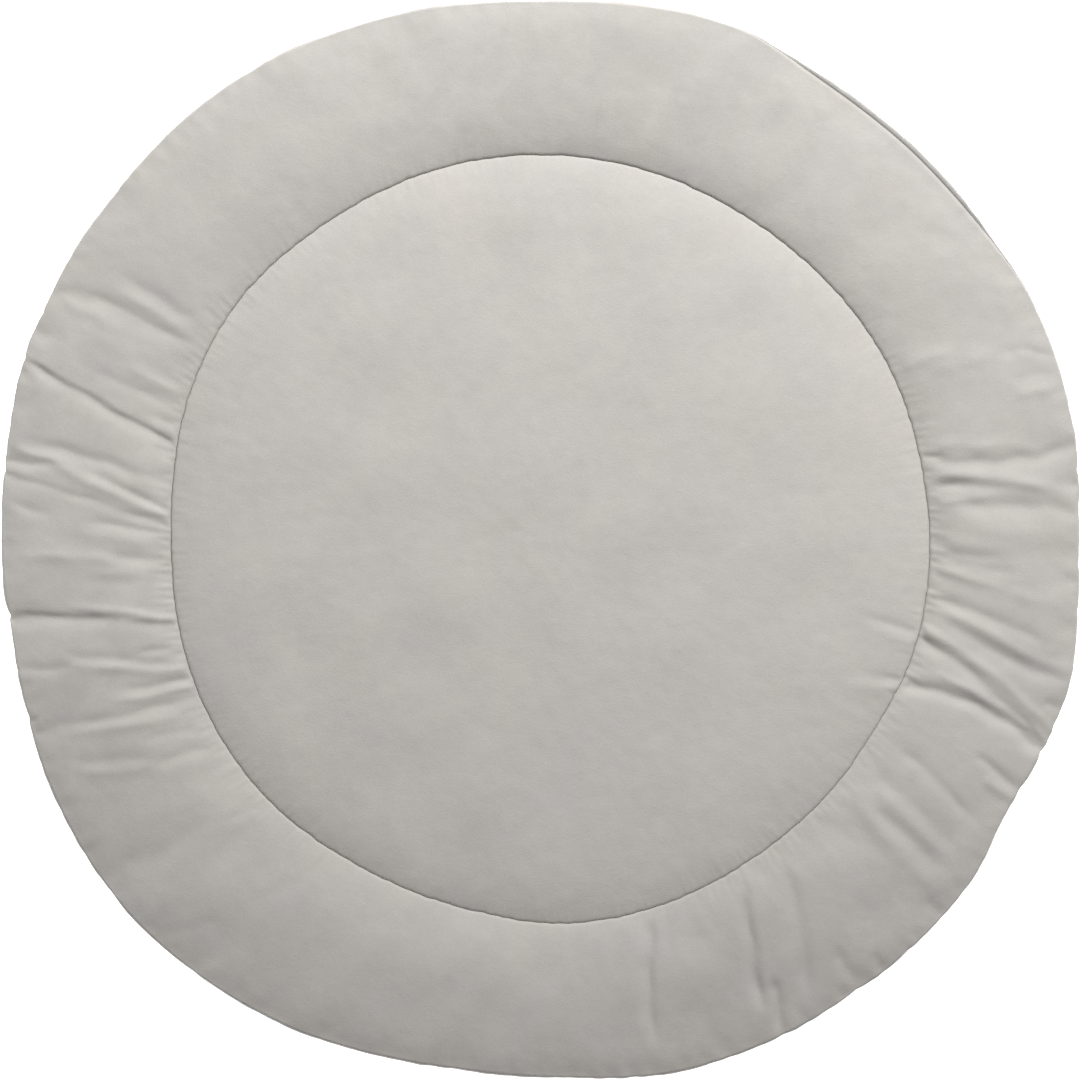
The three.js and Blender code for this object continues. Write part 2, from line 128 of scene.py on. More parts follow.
# The puckers of the border's cloth, each from its inner to its outer angle, bowed sideways in its
# middle. start and end are shares of the way from seam to rim. A ridge has a negative depth. lean
# makes the side of larger angles broader, and with a minus sign narrower.
Pucker = namedtuple("Pucker", "inner outer bow start end deep wide lean")
PUCKERS = [
    # right hand side, above the middle
    Pucker(1.1, 0.6, 0.0, 0.25, 0.90, -1.2, 11, 0.0),
    Pucker(4.8, 2.9, 0.3, 0.12, 1.00, 1.4, 9, 0.0),
    Pucker(5.7, 5.3, 0.0, 0.05, 0.42, -0.8, 4, 0.0),
    Pucker(7.9, 6.2, 0.3, 0.02, 0.52, 1.3, 5, 0.0),
    Pucker(9.4, 4.4, 0.6, 0.04, 0.97, -1.6, 6, 0.1),
    Pucker(11.8, 10.2, -1.2, 0.02, 1.00, 1.6, 7, -0.2),
    Pucker(12.2, 11.7, 0.0, 0.00, 0.15, 1.0, 3, 0.0),
    Pucker(13.5, 10.9, -0.2, 0.10, 0.75, -1.0, 6, 0.0),
    Pucker(17.2, 16.4, 0.0, 0.66, 0.99, -1.3, 6, 0.0),
    Pucker(19.0, 18.0, 0.0, 0.66, 0.98, 0.5, 5, 0.0),
    Pucker(21.6, 19.8, 0.0, 0.74, 0.98, -0.8, 5, 0.0),
    Pucker(22.2, 19.7, 0.2, 0.66, 1.00, 1.2, 5, 0.0),
    Pucker(23.6, 21.6, 0.0, 0.20, 0.70, -0.7, 8, 0.0),
    Pucker(25.6, 24.6, 0.0, 0.06, 0.42, -0.9, 6, 0.0),
    Pucker(44.5, 36.0, 0.0, 0.30, 0.85, 0.9, 16, 0.0),
    # left hand side, above the middle
    Pucker(147.8, 147.6, 0.0, 0.14, 0.76, 1.2, 7, 0.0),
    Pucker(149.4, 149.2, 0.0, 0.18, 0.72, -0.9, 5, 0.0),
    Pucker(150.9, 151.6, -0.1, 0.04, 0.96, 1.3, 6, 0.2),
    Pucker(153.4, 153.2, 0.0, 0.50, 0.97, -1.0, 6, 0.0),
    Pucker(155.6, 155.1, 0.0, 0.30, 0.80, -0.4, 7, 0.0),
    Pucker(158.0, 157.3, 0.0, 0.03, 0.42, -0.9, 5, 0.0),
    Pucker(160.1, 158.9, 0.0, 0.02, 0.72, 0.7, 5, 0.0),
    Pucker(162.6, 162.2, 0.0, 0.01, 0.20, 0.8, 4, 0.0),
    Pucker(165.3, 160.6, -0.3, 0.00, 1.00, 1.9, 5, 0.5),
    Pucker(167.0, 166.5, 0.0, 0.00, 0.16, 0.8, 4, 0.0),
    Pucker(171.3, 168.8, -0.4, 0.01, 0.99, 1.2, 6, 0.1),
    Pucker(170.7, 170.0, 0.0, 0.62, 0.98, -1.1, 4, 0.0),
    Pucker(171.2, 171.6, 0.0, 0.68, 1.00, 1.1, 4, 0.0),
    Pucker(175.8, 170.7, -0.1, 0.00, 0.52, 1.4, 4, 0.0),
    Pucker(176.6, 170.2, -0.3, 0.00, 0.84, -1.5, 5, 0.0),
    Pucker(177.8, 172.9, -0.6, 0.00, 1.00, 0.9, 4, 0.2),
    Pucker(178.9, 177.6, 0.0, 0.04, 0.50, 1.0, 4, 0.0),
    Pucker(177.0, 175.8, 0.0, 0.68, 0.98, 1.0, 5, 0.0),
    Pucker(180.4, 178.6, 0.0, 0.14, 0.60, -1.0, 6, 0.0),
    # left hand side, below the middle
    Pucker(183.2, 181.6, 0.0, 0.08, 0.44, 1.2, 6, 0.0),
    Pucker(182.6, 181.4, 0.0, 0.26, 0.98, -1.2, 6, 0.0),
    Pucker(184.8, 184.3, 0.0, 0.10, 0.50, -0.4, 5, 0.0),
    Pucker(185.9, 184.6, 0.0, 0.18, 0.64, 0.5, 7, 0.0),
    Pucker(192.2, 187.5, -0.2, 0.00, 0.68, -1.6, 4, 0.0),
    Pucker(193.2, 187.9, -0.6, 0.00, 1.00, 0.8, 5, 0.4),
    Pucker(190.6, 187.9, -0.2, 0.36, 1.00, 0.9, 5, 0.4),
    Pucker(195.0, 194.0, 0.0, 0.66, 1.00, 1.2, 5, 0.0),
    Pucker(196.4, 195.4, 0.0, 0.05, 0.30, 0.7, 4, 0.0),
    Pucker(198.9, 192.8, 0.0, 0.04, 0.76, 1.3, 5, 0.0),
    Pucker(200.2, 194.2, -0.2, 0.00, 0.74, -1.4, 5, 0.0),
    Pucker(201.8, 199.2, 0.0, 0.00, 0.46, 1.1, 4, 0.0),
    Pucker(202.7, 200.7, 0.0, 0.00, 0.50, -1.1, 4, 0.0),
    Pucker(204.3, 200.8, 0.3, 0.00, 0.86, 1.1, 5, 0.0),
    Pucker(205.9, 202.2, 0.0, 0.12, 0.80, -1.2, 5, 0.0),
    Pucker(208.8, 206.2, 0.0, 0.08, 0.42, 0.8, 5, 0.0),
    Pucker(209.2, 204.8, 0.0, 0.38, 0.88, 0.9, 6, 0.0),
    Pucker(210.6, 206.2, 0.0, 0.36, 0.86, -0.9, 6, 0.0),
    Pucker(212.2, 209.4, 0.0, 0.07, 0.44, 0.9, 5, 0.0),
    Pucker(217.2, 216.4, 0.0, 0.10, 0.50, -0.6, 8, 0.0),
    Pucker(223.0, 221.6, 0.0, 0.05, 0.26, 0.7, 5, 0.0),
    Pucker(229.4, 226.4, 0.0, 0.66, 0.95, 0.7, 8, 0.0),
    Pucker(235.0, 231.0, 0.0, 0.20, 0.50, 0.6, 8, 0.0),
    # bottom
    Pucker(262.0, 257.0, 0.0, 0.10, 0.50, -0.6, 10, 0.0),
    Pucker(286.4, 282.7, -0.9, 0.04, 0.84, 3.0, 6, -0.2),
    Pucker(288.4, 286.8, 0.0, 0.05, 0.30, 0.5, 5, 0.0),
    Pucker(300.4, 295.3, -0.9, 0.12, 0.86, 3.2, 6, -0.2),
    Pucker(298.0, 296.0, 0.0, 0.66, 1.00, 2.4, 5, 0.0),
    Pucker(306.8, 299.2, 0.4, 0.12, 0.96, 2.0, 8, -0.2),
    Pucker(306.0, 305.0, 0.0, 0.70, 1.00, 1.2, 6, 0.0),
    Pucker(309.0, 308.4, 0.0, 0.86, 1.00, 0.8, 5, 0.0),
    Pucker(317.2, 316.8, 0.0, 0.84, 1.00, 0.9, 5, 0.0),
    Pucker(320.4, 318.6, -0.6, 0.16, 0.99, -1.2, 9, 0.0),
    Pucker(321.6, 320.2, 0.0, 0.24, 0.84, 0.7, 7, 0.0),
    Pucker(323.4, 321.8, 0.0, 0.16, 0.90, -0.9, 7, 0.0),
    Pucker(325.4, 323.4, 0.0, 0.10, 0.84, 1.2, 8, 0.0),
    Pucker(330.0, 326.8, 0.0, 0.18, 0.93, 1.3, 6, 0.0),
    # right hand side, below the middle
    Pucker(331.8, 331.2, 0.0, 0.74, 1.00, -1.2, 5, 0.0),
    Pucker(333.6, 332.5, 0.0, 0.62, 1.00, 1.8, 5, 0.0),
    Pucker(338.2, 336.8, 1.7, 0.00, 1.00, 2.6, 6, 0.0),
    Pucker(341.4, 338.2, 0.4, 0.14, 1.00, -1.2, 4, 0.0),
    Pucker(342.4, 341.6, 0.0, 0.86, 1.00, 1.1, 4, 0.0),
    Pucker(345.8, 337.6, 0.1, 0.00, 1.00, 1.8, 5, -0.2),
    Pucker(347.2, 339.4, 0.2, 0.00, 1.00, -1.6, 5, 0.0),
    Pucker(345.4, 345.0, 0.0, 0.76, 1.00, 0.8, 5, 0.0),
    Pucker(349.0, 344.2, -0.5, 0.07, 0.98, 1.4, 6, 0.0),
    Pucker(350.4, 345.8, -0.4, 0.08, 0.97, -1.3, 5, 0.0),
    Pucker(351.8, 348.0, 0.0, 0.04, 0.92, 1.2, 6, 0.0),
    Pucker(353.8, 352.8, 0.0, 0.45, 0.92, -0.7, 6, 0.0),
    Pucker(355.6, 354.2, 0.0, 0.04, 0.52, -1.3, 5, 0.0),
    Pucker(356.9, 355.8, 0.0, 0.12, 0.64, 0.7, 5, 0.0),
    Pucker(358.3, 357.5, 0.0, 0.08, 0.52, 0.6, 5, 0.0),
    Pucker(359.9, 358.6, 0.0, 0.08, 0.62, -0.7, 7, 0.0),
]
PUCKER_FADE = 0.16  # the share of its run over which a pucker fades in; it fades out over twice that
SEAM_HOLD = 0.05  # the share of the border's width by the seam over which puckers set in
RIM_HOLD = 0.85  # the share of the border's width from which the rim seam pulls them flatter
KEPT_AT_RIM = 0.4  # the share of their depth that they keep at the rim
CREASE_SHARPNESS = 1.8

# Puckers of the padded centre, which run in from its seam: angle, turn, reach in, depth and width.
CentrePucker = namedtuple("CentrePucker", "at turn reach deep wide")
CENTRE_PUCKERS = [
    CentrePucker(338.7, -0.8, 28, 1.0, 5),
    CentrePucker(337.2, -2.8, 50, -0.8, 7),
    CentrePucker(344.4, 0.2, 42, -0.5, 6),
    CentrePucker(346.2, 0.7, 62, 1.0, 5),
    CentrePucker(177.5, 1.0, 24, 0.4, 6),
    CentrePucker(12.5, 1.0, 24, 0.3, 6),
    CentrePucker(163.0, -1.0, 20, 0.4, 5),
]

FULL_TURN = 360
RIGHT_ANGLE = 90

# Steps of the meshes: round the mat, from the seam to the crest, from there to the rim seam, and
# from there to the floor.
AROUND = 1440
INNER_STEPS = 22
OUTER_STEPS = 28
TURN_UP_STEPS = 9
ALL_ROUND = np.arange(AROUND) * FULL_TURN / AROUND


def smoothstep(value, low, high):
    share = np.clip((value - low) / (high - low), 0, 1)
    return share * share * (3 - 2 * share)


def turn_between(start, end):
    """The shortest way from one angle to another, in degrees."""
    return (end - start + FULL_TURN / 2) % FULL_TURN - FULL_TURN / 2


def around_outline(angle, column):
    """A closed smooth curve through one column of the outline table."""
    count = len(OUTLINE)
    at = np.array([row.at for row in OUTLINE], float)
    value = np.array([getattr(row, column) for row in OUTLINE], float)
    angle = np.asarray(angle, float) % FULL_TURN
    end = np.searchsorted(at, angle, side="right")

    def row(index):
        turns = np.floor_divide(index, count)
        return at[index % count] + turns * FULL_TURN, value[index % count]

    (at0, v0), (at1, v1), (at2, v2), (at3, v3) = (row(end + k) for k in (-2, -1, 0, 1))
    span = at2 - at1
    t = (angle - at1) / span
    slope1 = (v2 - v0) / (at2 - at0) * span
    slope2 = (v3 - v1) / (at3 - at1) * span
    rise = v2 - v1
    square = 3 * rise - 2 * slope1 - slope2
    return v1 + slope1 * t + square * t**2 + (slope1 + slope2 - 2 * rise) * t**3


def rim_radius(angle):
    return MAT_RADIUS + around_outline(angle, "rim")


def seam_radius(angle):
    return CENTRE_RADIUS + around_outline(angle, "seam")


def rim_seam_at(angle):
    """The place in the section at which the border's cloth ends."""
    walk = RIM_SEAM_WALK
    for roll in RIM_ROLLS:
        off = turn_between(roll.at, angle) / roll.half
        walk = walk + roll.walk * np.exp(-(off**2))
    return walk


def soft_lumps(seed, waves, short, long):
    """A smooth random height over the plan, with no strong repeat, from -2 to 2 or so."""
    random = np.random.default_rng(seed)
    length = random.uniform(short, long, waves)
    heading = random.uniform(0, 2 * math.pi, waves)
    phase = random.uniform(0, 2 * math.pi, waves)

    def height(x, y):
        total = np.zeros_like(x)
        for k in range(waves):
            along = x * math.cos(heading[k]) + y * math.sin(heading[k])
            total += np.cos(2 * math.pi * along / length[k] + phase[k])
        return total / math.sqrt(waves / 2)

    return height


def ripple(seed, short, long, waves=14):
    """A random wave round the mat, by the angle: short and long are its shortest and longest pitch."""
    random = np.random.default_rng(seed)
    counts = np.round(2 * math.pi * MAT_RADIUS / random.uniform(short, long, waves))
    phase = random.uniform(0, 2 * math.pi, waves)

    def height(angle):
        total = np.zeros_like(angle)
        for count, shift in zip(counts, phase):
            total += np.cos(np.radians(angle) * count + shift)
        return total / math.sqrt(waves / 2)

    return height


border_lumps = soft_lumps(seed=3, waves=26, short=45, long=150)
centre_lumps = soft_lumps(seed=8, waves=26, short=60, long=220)
fine_lumps = soft_lumps(seed=21, waves=40, short=11, long=34)
seam_pull = ripple(seed=11, short=8, long=26)
rim_pull = ripple(seed=12, short=14, long=48)
seam_line = ripple(seed=13, short=16, long=70)

# How high the lumps and the stitches' pulls are, and the shares of the border's width by the seam
# over which the lumps set in.
BORDER_LUMP = 0.4
BORDER_LUMP_HOLD = 0.3
CENTRE_LUMP = 0.4
FINE_LUMP = 0.045
FINE_LUMP_HOLD = 0.1
SEAM_PULL = 0.06
SEAM_PULL_REACH = 0.1
SEAM_PULL_SLANT = 4

# Where the border is gathered, it pulls more at the seam, the seam opens a little and the cloth is
# loose, up to 1.
Gather = namedtuple("Gather", "at half pull slit loose")
GATHERS = [
    Gather(181, 31, 0.03, 0.25, 0.9),
    Gather(353, 22, 0.03, 0.08, 0.9),
    Gather(307, 22, 0.0, 0.0, 0.4),
]
SEAM_SLIT = 0.02  # how far the seam stands open elsewhere
RIM_PULL = 0.12  # how high the rim seam's stitches ruffle the cloth
SEAM_WOBBLE = 0.22  # how far the seam strays to either side
WOBBLE_REACH = 0.06  # the share of the border's width that strays with it


def gathered(angle, column):
    """How far the gathers raise one of their columns at an angle."""
    far = [turn_between(row.at, angle) / row.half for row in GATHERS]
    return sum(getattr(row, column) * np.exp(-(share**2)) for row, share in zip(GATHERS, far))


def seam_slit(angle):
    return SEAM_SLIT + gathered(angle, "slit")


def seam_pull_rise(angle, share):
    pull = SEAM_PULL + gathered(angle, "pull")
    fade = np.exp(-((share / SEAM_PULL_REACH) ** 2))
    return seam_pull(angle + SEAM_PULL_SLANT * share) * pull * fade


def crease(off, wide, lean):
    """A crease's section, with a side that may be broader than the other."""
    return np.exp(-((np.abs(off) / (wide * (1 + lean * np.sign(off)))) ** CREASE_SHARPNESS))


# How uneven a pucker is along its run: its sway from side to side in millimetres, and the share of
# its depth that comes and goes. Two waves make up each of them, the second one weaker, and there are
# so many waves of each over the border's width.
SWAY = 0.8
UNEVEN_DEPTH = 0.22
SECOND_WAVE = 0.6
FEWEST_WAVES = 1.6
MOST_WAVES = 4.2
WAVES = 4

# The share of a pucker's depth that stays once the filling has pushed back.
DEPTH_KEPT = 0.88
uneven = np.random.default_rng(seed=5)
WAVE_STARTS = uneven.uniform(0, 2 * math.pi, (len(PUCKERS), WAVES))
WAVE_COUNTS = uneven.uniform(FEWEST_WAVES, MOST_WAVES, (len(PUCKERS), WAVES))


def pucker_rise(angle, share):
    """How far the puckers push the border's cloth out. share is 0 at the seam and 1 at the rim."""
    rise = np.zeros_like(share)
    radius = CENTRE_RADIUS + (MAT_RADIUS - CENTRE_RADIUS) * share
    for pucker, starts, counts in zip(PUCKERS, WAVE_STARTS, WAVE_COUNTS):
        run = (share - pucker.start) / (pucker.end - pucker.start)
        line = pucker.inner + turn_between(pucker.inner, pucker.outer) * run
        middle = line + pucker.bow * 4 * run * (1 - run)
        waves = [np.sin(2 * math.pi * share * counts[k] + starts[k]) for k in range(WAVES)]
        sway = SWAY * (waves[0] + SECOND_WAVE * waves[1])
        off = np.radians(turn_between(middle, angle)) * radius + sway
        deep = DEPTH_KEPT * pucker.deep * (1 + UNEVEN_DEPTH * (waves[2] + SECOND_WAVE * waves[3]))
        fade_in = 1 if pucker.start == 0 else smoothstep(run, 0, PUCKER_FADE)
        fade_out = 1 if pucker.end == 1 else 1 - smoothstep(run, 1 - 2 * PUCKER_FADE, 1)
        rise -= deep * crease(off, pucker.wide, pucker.lean) * fade_in * fade_out
    kept = 1 - (1 - KEPT_AT_RIM) * smoothstep(share, RIM_HOLD, 1)
    return rise * kept * smoothstep(share, 0, SEAM_HOLD)


def padding(way, width, rise):
    """The share of its height that the padding has reached so far from a seam."""
    steep = np.sqrt(1 - (1 - np.minimum(way / rise.roll, 1)) ** 2)
    level = np.exp(-width / rise.length)

    def soft(x):
        return 1 - np.exp(-x / rise.length) - x / rise.length * level

    return rise.share * steep + (1 - rise.share) * soft(way) / soft(width)


def section_point(angle, walk):
    """A point of the plain border's section: radius and height.

    walk is -1 on the floor, 0 at the widest point, 1 at the crest and 2 at the seam.
    """
    seam = seam_radius(angle)
    rim = rim_radius(angle)
    crest = seam + (rim - seam) * CREST_SHARE
    turn = np.radians(RIGHT_ANGLE * np.minimum(walk, 0))
    outer_way = (rim - crest) * np.clip(walk, 0, 1) ** 2
    inner_way = (crest - seam) * np.clip(2 - walk, 0, 1) ** 2
    outer_rise = padding(outer_way, rim - crest, FROM_RIM_TO_BORDER)
    inner_rise = padding(inner_way, crest - seam, FROM_SEAM_TO_BORDER)
    below = walk < 0
    outside = walk <= 1
    radius = np.where(outside, rim - outer_way, seam + inner_way)
    height = np.where(
        outside,
        WIDEST_HEIGHT + (BORDER_HEIGHT - WIDEST_HEIGHT) * outer_rise,
        SEAM_HEIGHT + (BORDER_HEIGHT - SEAM_HEIGHT) * inner_rise,
    )
    radius = np.where(below, rim - UNDERCUT * (1 - np.cos(turn)), radius)
    height = np.where(below, WIDEST_HEIGHT * (1 + np.sin(turn)), height)
    return radius, height


# How far the rim seam pinches the cloth in, and over how much of the walk to either side.
PINCH = 1.1
PINCH_WALK = 0.04

SLOPE_STEP = 0.006  # of the walk, between the points that give the section's slope


def border_surface(angle, walk, under=0.0):
    """A point of the puckered border, or one that lies a given depth under it."""
    angle, walk = np.broadcast_arrays(np.asarray(angle, float), np.asarray(walk, float))
    radius, height = section_point(angle, walk)
    radius_low, height_low = section_point(angle, np.maximum(walk - SLOPE_STEP, -1))
    radius_high, height_high = section_point(angle, np.minimum(walk + SLOPE_STEP, 2))
    along = np.hypot(radius_high - radius_low, height_high - height_low)
    out_radius = (height_high - height_low) / along
    out_height = (radius_low - radius_high) / along
    seam = seam_radius(angle)
    share = np.where(walk < 0, 1.0, np.minimum((radius - seam) / (rim_radius(angle) - seam), 1))
    x = radius * np.cos(np.radians(angle))
    y = radius * np.sin(np.radians(angle))
    rise = pucker_rise(angle, share)
    rise += border_lumps(x, y) * BORDER_LUMP * smoothstep(share, 0, BORDER_LUMP_HOLD)
    rise += fine_lumps(x, y) * FINE_LUMP * smoothstep(share, 0, FINE_LUMP_HOLD)
    rise += seam_pull_rise(angle, share)
    rise += rim_pull(angle) * RIM_PULL * smoothstep(share, RIM_HOLD, 1)
    rise -= PINCH * np.exp(-(((walk - rim_seam_at(angle)) / PINCH_WALK) ** 2))
    off_floor = np.cos(np.radians(RIGHT_ANGLE * np.minimum(walk, 0)))
    move = rise * off_floor
    wobble = seam_line(angle) * SEAM_WOBBLE * (1 - smoothstep(share, 0, WOBBLE_REACH))
    # What lies under the rim's tight roll is nested in it, as a like section that is smaller.
    risen = (height - WIDEST_HEIGHT) / (BORDER_HEIGHT - WIDEST_HEIGHT)
    in_radius = np.where(walk < 0, out_radius, 1 - walk**2)
    in_height = np.where(walk < 0, out_height, risen)
    radius = radius + wobble + out_radius * move - in_radius * under
    return flat_ring(angle, radius, height + out_height * move - in_height * under)


def flat_ring(angle, radius, height):
    """Points at these angles. radius and height are either one for all points or one for each."""
    x = radius * np.cos(np.radians(angle))
    y = radius * np.sin(np.radians(angle))
    return np.stack([x, y, np.broadcast_to(height, x.shape)], axis=-1)


def band_faces(first, first_count, second, second_count):
    """The faces between two rings of points. The second ring has as many points, or half."""
    faces = []
    if first_count == second_count:
        for k in range(first_count):
            after = (k + 1) % first_count
            faces.append((first + k, first + after, second + after, second + k))
        return faces
    if second_count * 2 == first_count:
        for k in range(second_count):
            after = (k + 1) % second_count
            start, middle, end = first + 2 * k, first + 2 * k + 1, first + (2 * k + 2) % first_count
            faces.append((start, middle, second + k))
            faces.append((middle, end, second + after, second + k))
        return faces
    flipped = band_faces(second, second_count, first, first_count)
    return [face[::-1] for face in flipped]


def solid_through(name, rings, start_middle=None, end_middle=None):
    """A closed mesh through rings of points, each joined to the next one."""
    starts = np.cumsum([0] + [len(ring) for ring in rings])
    points = [np.concatenate(rings)]
    faces = []
    count = len(rings)
    closed = start_middle is None
    for k in range(count if closed else count - 1):
        after = (k + 1) % count
        faces += band_faces(int(starts[k]), len(rings[k]), int(starts[after]), len(rings[after]))
    if not closed:
        for ring, height, turned in ((0, start_middle, True), (count - 1, end_middle, False)):
            middle = int(starts[-1]) + (0 if turned else 1)
            points.append(np.array([[rings[ring][:, 0].mean(), rings[ring][:, 1].mean(), height]]))
            size = len(rings[ring])
            start = int(starts[ring])
            for k in range(size):
                pair = (start + k, start + (k + 1) % size)
                faces.append((*(pair[::-1] if turned else pair), middle))
    mesh = bpy.data.meshes.new(name)
    mesh.from_pydata((np.concatenate(points) * MM).tolist(), [], faces)
    mesh.update()
    mesh.shade_smooth()
    piece = bpy.data.objects.new(name, mesh)
    bpy.context.scene.collection.objects.link(piece)
    return piece


# The cloth simulation of the border's top: how much longer the cloth is than its seams where it is
# loosest, how firmly and from where the filling holds it by the rim, and how far a point may move.
EXTRA_LENGTH = 0.007
HELD_AT_RIM = 0.5
RIM_HELD_FROM = 0.7
SETTLE_FRAMES = 20
SETTLE_LIMIT = 2.5
CLOTH_SETTINGS = {
    "quality": 6,
    "mass": 0.2,
    "air_damping": 1,
    "tension_stiffness": 12,
    "compression_stiffness": 12,
    "shear_stiffness": 4,
    "bending_stiffness": 3,
    "use_pressure": True,
    "uniform_pressure_force": 0.3,
    "vertex_group_mass": "held",
    "vertex_group_shrink": "tight",
    "shrink_min": -EXTRA_LENGTH,
}


def loose_cloth(points, angles):
    """An open mesh for the simulation, with groups for what holds it and where it is tight."""
    count, around = points.shape[:2]
    faces = []
    for k in range(count - 1):
        faces += band_faces((k + 1) * around, around, k * around, around)
    mesh = bpy.data.meshes.new("loose_cloth")
    mesh.from_pydata((points.reshape(-1, 3) * MM).tolist(), [], faces)
    mesh.update()
    cloth = bpy.data.objects.new("loose_cloth", mesh)
    bpy.context.scene.collection.objects.link(cloth)
    firm = HELD_AT_RIM * smoothstep(np.arange(count) / (count - 1), RIM_HELD_FROM, 1)
    firm[[0, -1]] = 1
    held = cloth.vertex_groups.new(name="held")
    for k in range(count):
        held.add(list(range(k * around, (k + 1) * around)), float(firm[k]), "REPLACE")
    tightness = 1 - np.clip(gathered(angles, "loose"), 0, 1)
    tight = cloth.vertex_groups.new(name="tight")
    for k in range(around):
        tight.add(list(range(k, count * around, around)), float(tightness[k]), "REPLACE")
    return cloth


def simulate(cloth):
    """Let loose cloth find its folds over the filling. Returns its points in millimetres."""
    modifier = cloth.modifiers.new("settle", "CLOTH")
    for name, value in CLOTH_SETTINGS.items():
        setattr(modifier.settings, name, value)
    modifier.settings.effector_weights.gravity = 0
    modifier.collision_settings.use_collision = False
    scene = bpy.context.scene
    for frame in range(1, SETTLE_FRAMES + 1):
        scene.frame_set(frame)
    result = cloth.evaluated_get(bpy.context.evaluated_depsgraph_get()).data
    points = np.empty(3 * len(result.vertices))
    result.vertices.foreach_get("co", points)
    scene.frame_set(1)
    bpy.data.objects.remove(cloth)
    return points.reshape(-1, 3) / MM


def settled(rings):
    """The rings of the border's top once its loose cloth has found its own folds.

    The simulation has every second point of every second ring. Those between move as they do.
    """
    fine = np.array(rings)
    coarse = fine[1::2, ::2]
    move = simulate(loose_cloth(coarse, ALL_ROUND[::2])).reshape(coarse.shape) - coarse
    far = np.linalg.norm(move, axis=-1, keepdims=True)
    move /= np.sqrt(1 + (far / SETTLE_LIMIT) ** 2)
    between = (move + np.roll(move, -1, axis=1)) / 2
    move = np.stack([move, between], axis=2).reshape(len(move), -1, 3)
    fine[1::2] += move
    fine[2::2] += (move[:-1] + move[1:]) / 2
    return list(fine)


def make_border():
    under = CLOTH + GAP
    seam_end = rim_seam_at(ALL_ROUND)
    rings = []
    for walk in np.linspace(2, 1, INNER_STEPS + 1)[1:]:
        rings.append(border_surface(ALL_ROUND, walk))
    for t in np.arange(1, OUTER_STEPS + 1) / OUTER_STEPS:
        rings.append(border_surface(ALL_ROUND, 1 + (seam_end - 1) * t))
    rings = settled(rings)
    rings.append(border_surface(ALL_ROUND, seam_end, under))
    edge = seam_end - SEAM_CLEARANCE
    for t in np.arange(TURN_UP_STEPS + 1) / TURN_UP_STEPS:
        rings.append(border_surface(ALL_ROUND, edge + (-1 - edge) * t, under))
    seam = seam_radius(ALL_ROUND)
    wobble = seam_line(ALL_ROUND) * SEAM_WOBBLE
    rings.append(flat_ring(ALL_ROUND, seam + FURROW_HALF_WIDTH, under))
    rings.append(flat_ring(ALL_ROUND, seam + GAP / 2 + wobble, under + FURROW_DEPTH))
    rings.append(flat_ring(ALL_ROUND, seam + seam_slit(ALL_ROUND) / 2 + wobble, SEAM_HEIGHT))
    return solid_through("border_cloth", rings[::-1])


def centre_height(inset, angle):
    """The height of the padded centre, so far in from its seam."""
    rise = padding(inset, seam_radius(angle), FROM_SEAM_TO_CENTRE)
    return SEAM_HEIGHT + (CENTRE_HEIGHT - SEAM_HEIGHT) * rise


# From where to where the centre's relief sets in: for lumps and pulls in millimetres from the seam,
# and for its puckers in shares of their reach, with the share from which they fade out.
CENTRE_LUMP_HOLD = (4, 50)
CENTRE_FINE_HOLD = (2, 14)
CENTRE_PULL_HOLD = (0, 3)
CENTRE_PULL_REACH = 12
CENTRE_PULL_TURN = 3  # in degrees, against the border's pulls
CENTRE_PUCKER_IN = (0, 0.1)
CENTRE_PUCKER_OUT = (0.4, 1)


def centre_relief(angle, inset):
    """The centre's own unevenness: soft lumps, small pulls at the seam and its puckers."""
    radius = seam_radius(angle) - inset
    x = radius * np.cos(np.radians(angle))
    y = radius * np.sin(np.radians(angle))
    relief = centre_lumps(x, y) * CENTRE_LUMP * smoothstep(inset, *CENTRE_LUMP_HOLD)
    relief += fine_lumps(x, y) * FINE_LUMP * smoothstep(inset, *CENTRE_FINE_HOLD)
    pull = np.exp(-((inset / CENTRE_PULL_REACH) ** 2)) * smoothstep(inset, *CENTRE_PULL_HOLD)
    relief += seam_pull(angle + CENTRE_PULL_TURN) * SEAM_PULL * pull
    for pucker in CENTRE_PUCKERS:
        run = inset / pucker.reach
        off = np.radians(turn_between(pucker.at + pucker.turn * run, angle)) * radius
        fade = smoothstep(run, *CENTRE_PUCKER_IN) * (1 - smoothstep(run, *CENTRE_PUCKER_OUT))
        relief -= pucker.deep * crease(off, pucker.wide, 0) * fade
    return relief


# The centre's rings lie close over the width of its edge and then a row apart. Inside each of the
# radii a ring has half as many points as before.
CENTRE_EDGE = 42
EDGE_RINGS = 16
CENTRE_ROW = 6
HALVED_INSIDE = (255, 130, 66, 34, 16)


def make_centre():
    under = CLOTH + GAP
    seam = seam_radius(ALL_ROUND)
    wobble = seam_line(ALL_ROUND) * SEAM_WOBBLE
    wall = seam - seam_slit(ALL_ROUND) / 2 + wobble
    rings = [
        flat_ring(ALL_ROUND, seam - FURROW_HALF_WIDTH, under),
        flat_ring(ALL_ROUND, seam - GAP / 2 + wobble, under + FURROW_DEPTH),
    ]
    insets = list(CENTRE_EDGE * np.linspace(0, 1, EDGE_RINGS) ** 2)
    while insets[-1] < CENTRE_RADIUS - CENTRE_ROW * 2:
        insets.append(insets[-1] + CENTRE_ROW)
    for inset in insets:
        left = CENTRE_RADIUS - inset
        every = 2 ** sum(left < limit for limit in HALVED_INSIDE)
        angle = ALL_ROUND[::every]
        radius = (wall * (1 - inset / CENTRE_RADIUS))[::every]
        height = centre_height(inset, angle) + centre_relief(angle, inset)
        rings.append(flat_ring(angle, radius, height))
    return solid_through("centre_cloth", rings, start_middle=under, end_middle=CENTRE_HEIGHT)


